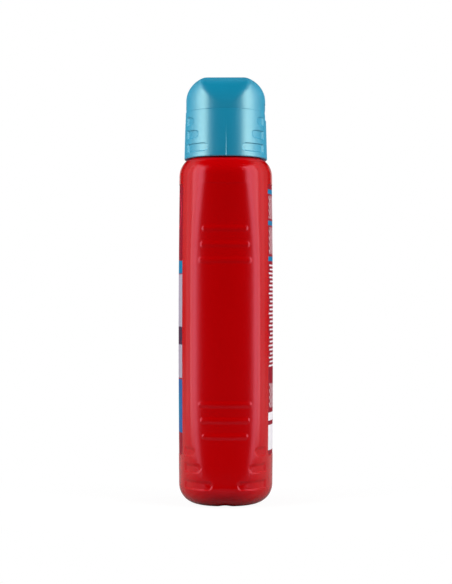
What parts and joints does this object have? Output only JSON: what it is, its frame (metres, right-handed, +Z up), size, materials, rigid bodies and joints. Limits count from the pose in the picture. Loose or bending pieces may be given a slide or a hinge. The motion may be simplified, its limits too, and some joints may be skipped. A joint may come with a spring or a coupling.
{
  "type": "shower gel bottle",
  "caption": "Flat oval squeeze bottle of shower gel, glossy red, with a turquoise flip-top cap on a living hinge and a label front and back.",
  "frame": {"origin": "centre of the bottle's foot, on the surface it stands on", "axes": "+Z up, X along the wide way, front label towards -Y, hinge of the lid towards +Y"},
  "size_m": [0.058, 0.0418, 0.186],
  "materials": {
    "body": "glossy blow-moulded red",
    "cap": "pearl turquoise, semi-gloss moulding",
    "label": "glossy printed film, plain colour fields",
    "gel": "thick translucent liquid"
  },
  "bodies": {
    "pack": {"bottle": "body", "gel": "gel", "front_label": "label", "back_label": "label", "cap_base": "cap", "hinge_strap": "cap"},
    "lid": {"lid": "cap"}
  },
  "joints": [
    {"name": "lid_hinge", "type": "hinge", "parent": "pack", "child": "lid", "pos_m": [0, 0.01708, 0.17155], "axis": [-1, 0, 0], "range_deg": [0, 130], "deforming": ["hinge_strap"]}
  ]
}
